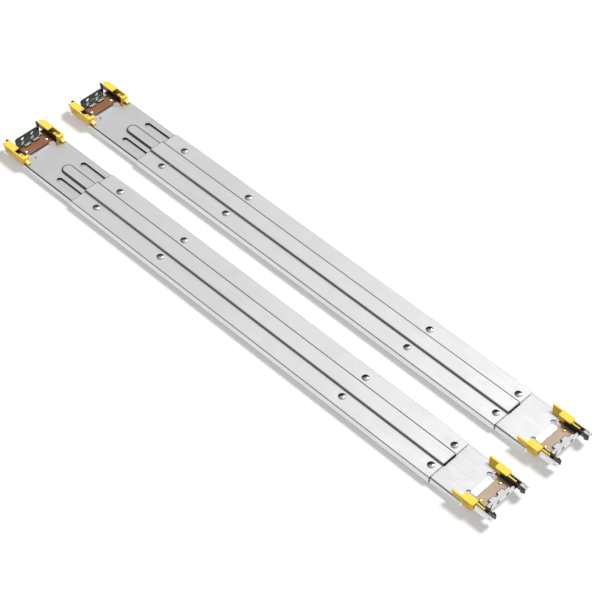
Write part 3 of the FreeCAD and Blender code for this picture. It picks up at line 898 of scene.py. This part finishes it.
        # Painted shade: a dark crescent on each dome's side turned from the bright end, and a dark
        # ring round its foot.
        away, (start, end) = Vector(self.shade_from), self.shade_turn
        line = piece.data.attributes.new("edge_line", "FLOAT", "FACE")
        line.data.foreach_set("value", [
            max(min(max((face.normal.dot(away) - start) / (end - start), 0.0), 1.0),
                self.ring_shade if face.normal.z < self.ring_normal else 0.0)
            for face in piece.data.polygons])
        self.shop.dress(piece, RIVET, self.place.body(), node)


def joined(parts: Sequence[Object], name: str) -> Object:
    """Join plain pieces into one.

    Args:
        parts: Pieces at the origin.
        name: Name of the joined piece.

    Returns:
        The joined piece.
    """
    work = bmesh.new()
    for part in parts:
        work.from_mesh(part.data)
    mesh = bpy.data.meshes.new(name)
    work.to_mesh(mesh)
    work.free()
    for part in parts:
        bpy.data.objects.remove(part)
    return put_in(mesh, name)


@dataclass
class Bracket:
    """End bracket: base, flange, prong walls, hook arms, latches and what joins them."""

    place: RailPlace
    end: End
    shop: Workshop
    base_rivet_reach: float = 11.7
    base_rivet_row: float = 13.475
    base_rivet_radius: float = 2.0
    stub_rings: Outline = ((0.8, 0.8), (1.0, 0.5), (1.0, 0.0))
    dome_rings: Outline = ((1.0, 0.0), (0.97, 0.25), (0.8, 0.55), (0.5, 0.74), (0.08, 0.8))
    base_face: float = 0.1
    bracket_sheet: float = 1.2
    member_sheet: float = 1.5
    pivot_reach: float = 6.5
    pivot_row: float = 23.175
    pin_radius: float = 1.2
    pin_head_radius: float = 2.1
    pin_top: float = 5.0
    pin_bevel: Span = (0.75, 0.3)
    turned_sides: int = 32
    spring_radius: float = 1.85
    spring_wire: float = 0.5
    spring_turns: float = 3.0
    spring_pitch: float = 0.58
    screw_radius: float = 2.1
    screw_row: float = 6.35
    screw_height: float = 4.2
    flange_reach: float = 26.1
    thread_depth: float = 0.16
    thread_turns: float = 2.5
    thread_sides: int = 4
    thread_inset: float = 0.1
    # Painted shade on the brackets: a strip round the leg top, dark cut edges, and the rear flange
    # painted dark as a reflection.
    step_top: float = 1.6
    leg_ring: float = 0.6
    mirror_shade: float = 0.94
    edge_shade: float = 0.9
    inwards: float = 0.35
    slope: Span = (0.1, 0.95)
    soft: dict[str, float] = field(default_factory=lambda: {
        "bracket_base": 0.12, "end_flange": 0.15, "prong_wall": 0.15, "hook_arm": 0.15,
        "latch": 0.22})

    def node(self, name: str) -> str:
        """Name of one of this bracket's nodes."""
        return self.place.node(f"{self.end.word}_{name}")

    def plate_line(self, place: Vector, normal: Vector) -> float:
        """Painted shade on the cut edges that face the rail's middle and on hole walls; above the
        step, the rear bracket is painted dark as a dark reflection.
        """
        inwards = -normal.x * self.end.value
        low = place.z < self.place.face + self.step_top
        if not low:
            return self.mirror_shade if self.end is End.REAR else 0.0
        sloped = self.slope[0] < normal.z < self.slope[1]
        return self.edge_shade if inwards > self.inwards or sloped else 0.0

    def leg_face(self, place: Vector, normal: Vector) -> bool:
        """Whether a face is the flat top of the flange's leg."""
        return place.z < self.place.face + self.step_top and normal.z > FLAT

    @staticmethod
    def grip_tone(edge: Edge) -> LineRule:
        """Rule that paints shade on a grip's sides, strongest on the side facing inwards, and none
        on its top.

        Args:
            edge: Edge of the rail that the grip is on.

        Returns:
            The rule.
        """

        def rule(_: Vector, normal: Vector) -> float:
            """Share of painted shade at one place."""
            inner = -normal.y * edge.value > INNER_SIDE
            return max(0.0, min(1.0, GRIP_TOP - normal.z)) * (1.0 if inner else OUTER_SHARE)

        return rule

    def plates(self) -> None:
        """Dress the base and the flange."""
        front = self.end is End.FRONT
        for name, finish in (("bracket_base", TAN_BASE if front else COPPER_BASE),
                             ("end_flange", FLANGE if front else PAINTED_DARK_FLANGE)):
            node = self.node(name)
            ringed = self.leg_face if front and name == "end_flange" else None
            piece = self.shop.softener.copy(
                node, node + "_plate", self.soft[name], self.place, self.plate_line, ringed,
                self.leg_ring)
            self.shop.dress(piece, finish, self.place.body(self.end), node)

    def sides(self) -> None:
        """Dress the prong walls, hook arms and latches."""
        for edge in Edge:
            for name, finish, moving in (("prong_wall", WALL, False), ("hook_arm", HOOK, True),
                                         ("latch", YELLOW, True)):
                node = self.node(f"{edge.word}_{name}")
                rule = self.grip_tone(edge) if name == "latch" else None
                piece = self.shop.softener.copy(
                    node, node + "_dressed", self.soft[name], self.place, rule)
                body = self.place.body(self.end, edge if moving else None)
                self.shop.dress(piece, finish, body, node)

    def stub(self, radius: float, seat: float) -> list[Span]:
        """Rings of a rounded stub under a seat, for rivet tails and pin heads."""
        return [(radius * wide, seat - deep) for wide, deep in self.stub_rings]

    def fasteners(self) -> None:
        """Set out base rivets and pivot pins."""
        under = -self.bracket_sheet - self.member_sheet
        head, shank = self.base_rivet_radius, self.pin_radius
        rivet = [*self.stub(head, under), (shank, under), (shank, 0.0),
                 *((head * wide, rise) for wide, rise in self.dome_rings)]
        seat, top = -self.bracket_sheet, self.pin_top - self.base_face
        narrow, bevel = self.pin_bevel
        pin = [*self.stub(self.pin_head_radius, seat), (shank, seat), (shank, top - bevel),
               (shank * narrow, top)]
        steel = GOLD_RIVET if self.end is End.FRONT else RIVET
        for name, profile, reach, row, finish in (
                ("base_rivets", rivet, self.base_rivet_reach, self.base_rivet_row, steel),
                ("pivot_pins", pin, self.pivot_reach, self.pivot_row, RIVET)):
            node = self.node(name)
            place = self.place.at_end(self.end, reach, 0.0, self.base_face)
            piece = self.shop.repeat(
                profile, self.turned_sides, node + "_turned", [place], row, 0.0, finish)
            self.shop.dress(piece, finish, self.place.body(self.end), node)

    def wires(self) -> None:
        """Wind the springs and the threads of the flange."""
        shop, body, half = self.shop, self.place.body(self.end), self.spring_wire / 2
        node = self.node("latch_springs")
        places = [self.place.at_end(self.end, self.pivot_reach, side * self.pivot_row,
                                    self.base_face + half) for side in (-1, 1)]
        springs = shop.repeater.run(shop.repeater.wire_tree, node + "_wound", places, {
            "Turns": self.spring_turns, "Radius": self.spring_radius * MM,
            "Length": self.spring_turns * self.spring_pitch * MM, "Wire": half * MM,
            "Finish": shop.materials[SPRING.name]})
        shop.dress(springs, SPRING, body, node)
        finish = FLANGE if self.end is End.FRONT else RIVET
        reach = self.flange_reach - self.bracket_sheet + self.thread_inset
        places = [self.place.at_end(self.end, reach, side * self.screw_row, self.screw_height)
                  for side in (-1, 1)]
        threads = shop.repeater.run(shop.repeater.wire_tree, self.node("flange_threads"), places, {
            "Turns": self.thread_turns, "Radius": self.screw_radius * MM,
            "Length": (self.bracket_sheet - 2 * self.thread_inset) * MM,
            "Wire": self.thread_depth * MM, "Wire Sides": self.thread_sides,
            "Tilt": (0.0, self.end.value * math.pi / 2, 0.0),
            "Finish": shop.materials[finish.name]})
        shop.dress(threads, finish, body)


@dataclass
class Studio:
    """Pale floor, soft light from above the front ends, and the camera."""

    eye: Way = (0.8811, -0.9302, 1.4128)
    right: Way = (0.71474, 0.6988, 0.02872)
    down: Way = (0.53454, -0.51933, -0.66676)
    ahead: Way = (-0.45102, 0.49191, -0.74472)
    focal_pixels: float = 1968.0
    picture: float = 600.0
    sensor: float = 36.0
    clip: Span = (0.01, 50.0)
    floor_size: float = 6.0
    floor_height: float = -0.0002
    floor_tone: float = 0.78
    floor_glow: float = 0.24
    floor_mirrored: float = 0.95
    sky: float = 0.38
    gloss_span: Span = (0.46, 0.80)
    gloss_from: Way = (0.86, 0.0, 0.5)
    gloss_turn: Span = (-0.4, 0.16)
    back_turn: Span = (-0.3, -0.55)
    back_gain: float = 1.2
    horizon_turn: Span = (0.02, 0.45)
    dark_from: Way = (-0.25, -0.95, 0.1)
    dark_turn: Span = (0.1, 0.5)
    least_gloss: float = 0.45
    sun_strength: float = 2.7
    sun_angle: float = 15.0
    sun_from: Way = (0.12, 0.64, 0.76)

    def camera(self) -> None:
        """Place the camera at the photograph's viewing angle."""
        data = bpy.data.cameras.new("camera")
        data.sensor_width = self.sensor
        data.lens = self.focal_pixels / self.picture * self.sensor
        data.clip_start, data.clip_end = self.clip
        eye = put_in(data, "camera")
        columns = (Vector(self.right), -Vector(self.down), -Vector(self.ahead))
        turn = Matrix(columns).transposed().to_4x4()
        eye.matrix_world = Matrix.Translation(self.eye) @ turn
        bpy.context.scene.camera = eye

    def floor(self) -> None:
        """Lay the pale floor, which shows white to the camera and keeps shadows."""
        half = self.floor_size / 2
        mesh = bpy.data.meshes.new("floor")
        corners = ((-half, -half), (half, -half), (half, half), (-half, half))
        mesh.from_pydata([(*corner, self.floor_height) for corner in corners], [], [(0, 1, 2, 3)])
        floor = put_in(mesh, "floor")
        material = bpy.data.materials.new("pale_floor")
        material.use_nodes = True
        graph = Graph(material.node_tree)
        graph.tree.nodes.clear()
        diffuse = graph.add("ShaderNodeBsdfDiffuse", Color=(*[self.floor_tone] * 3, 1.0))
        path = graph.add("ShaderNodeLightPath")
        seen = graph.math("MULTIPLY", path.outputs["Is Camera Ray"], self.floor_glow)
        glow = graph.add("ShaderNodeEmission", Strength=seen)
        both = graph.add("ShaderNodeAddShader")
        graph.feed(both.inputs[0], diffuse.outputs[0])
        graph.feed(both.inputs[1], glow.outputs[0])
        mirrored = graph.add("ShaderNodeEmission", Strength=self.floor_mirrored)
        choice = graph.add("ShaderNodeMixShader")
        graph.feed(choice.inputs[0], path.outputs["Is Glossy Ray"])
        graph.feed(choice.inputs[1], both.outputs[0])
        graph.feed(choice.inputs[2], mirrored.outputs[0])
        graph.add("ShaderNodeOutputMaterial", Surface=choice.outputs[0])
        floor.data.materials.append(material)

    def world(self) -> None:
        """Make the surrounding light: plain for matt surfaces, a bright side for gloss."""
        world = bpy.data.worlds.new("studio")
        world.use_nodes = True
        bpy.context.scene.world = world
        graph = Graph(world.node_tree)
        graph.tree.nodes.clear()
        path = graph.add("ShaderNodeLightPath")
        way = graph.add("ShaderNodeTexCoord").outputs["Generated"]
        low, high = self.gloss_span
        along = self.along(graph, way, self.gloss_from)
        bright = graph.ramp(along, *self.gloss_turn)
        back = graph.math("MULTIPLY", graph.ramp(along, *self.back_turn), self.back_gain)
        gloss = graph.math("ADD", low, graph.math("MULTIPLY", bright, high - low))
        gloss = graph.math("ADD", gloss, back)
        rise = graph.ramp(self.along(graph, way, (0.0, 0.0, 1.0)), *self.horizon_turn)
        front = graph.ramp(self.along(graph, way, self.dark_from), *self.dark_turn)
        shade = graph.math("MULTIPLY", rise, graph.math("SUBTRACT", 1.0, front))
        shade = graph.math("MAXIMUM", shade, self.least_gloss)
        gloss = graph.math("SUBTRACT", graph.math("MULTIPLY", gloss, shade), self.sky)
        glossy = graph.math("MULTIPLY", path.outputs["Is Glossy Ray"], gloss)
        camera = graph.math("MULTIPLY", path.outputs["Is Camera Ray"], 1.0 - self.sky)
        strength = graph.math("ADD", graph.math("ADD", glossy, camera), self.sky)
        light = graph.add("ShaderNodeBackground", Color=(1.0, 1.0, 1.0, 1.0), Strength=strength)
        graph.add("ShaderNodeOutputWorld", Surface=light.outputs[0])

    @staticmethod
    def along(graph: Graph, way: NodeSocket, direction: Sequence[float]) -> NodeSocket:
        """How far a direction of the surrounding light points along another.

        Args:
            graph: Tree of the world.
            way: Socket with the direction looked in.
            direction: Direction that it is compared with.

        Returns:
            The cosine between the two.
        """
        node = graph.add("ShaderNodeVectorMath", {"operation": "DOT_PRODUCT"})
        graph.feed(node.inputs[0], way)
        graph.feed(node.inputs[1], tuple(Vector(direction).normalized()))
        return node.outputs["Value"]

    def lamps(self) -> None:
        """Hang the key lamp."""
        sun = bpy.data.lights.new("key", "SUN")
        sun.energy = self.sun_strength
        sun.angle = math.radians(self.sun_angle)
        key = put_in(sun, "key")
        key.rotation_mode = "QUATERNION"
        key.rotation_quaternion = Vector(self.sun_from).to_track_quat("Z", "Y")


def main() -> None:
    """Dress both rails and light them."""
    logging.basicConfig(level=logging.INFO, format="%(name)s: %(message)s")
    bpy.context.scene.view_settings.view_transform = "Standard"
    groups = {build.__name__: build()
              for build in (rolled_grain, handling_marks, edge_wear, crevice_shade)}
    finishes = (PLATE, MEMBER, RIVET, TAN_BASE, COPPER_BASE, GOLD_RIVET, FLANGE, PAINTED_DARK_FLANGE, WALL,
                HOOK, YELLOW, SPRING)
    shop = Workshop(
        Softener(), Repeater(), {finish.name: finish.build(groups) for finish in finishes})
    for rail in Rail:
        place = RailPlace(rail)
        members = Members(place, shop)
        members.sheets()
        members.rivets()
        for end in End:
            bracket = Bracket(place, end, shop)
            bracket.plates()
            bracket.sides()
            bracket.fasteners()
            bracket.wires()
    studio = Studio()
    studio.floor()
    studio.world()
    studio.lamps()
    studio.camera()


if __name__ == "__main__":
    main()
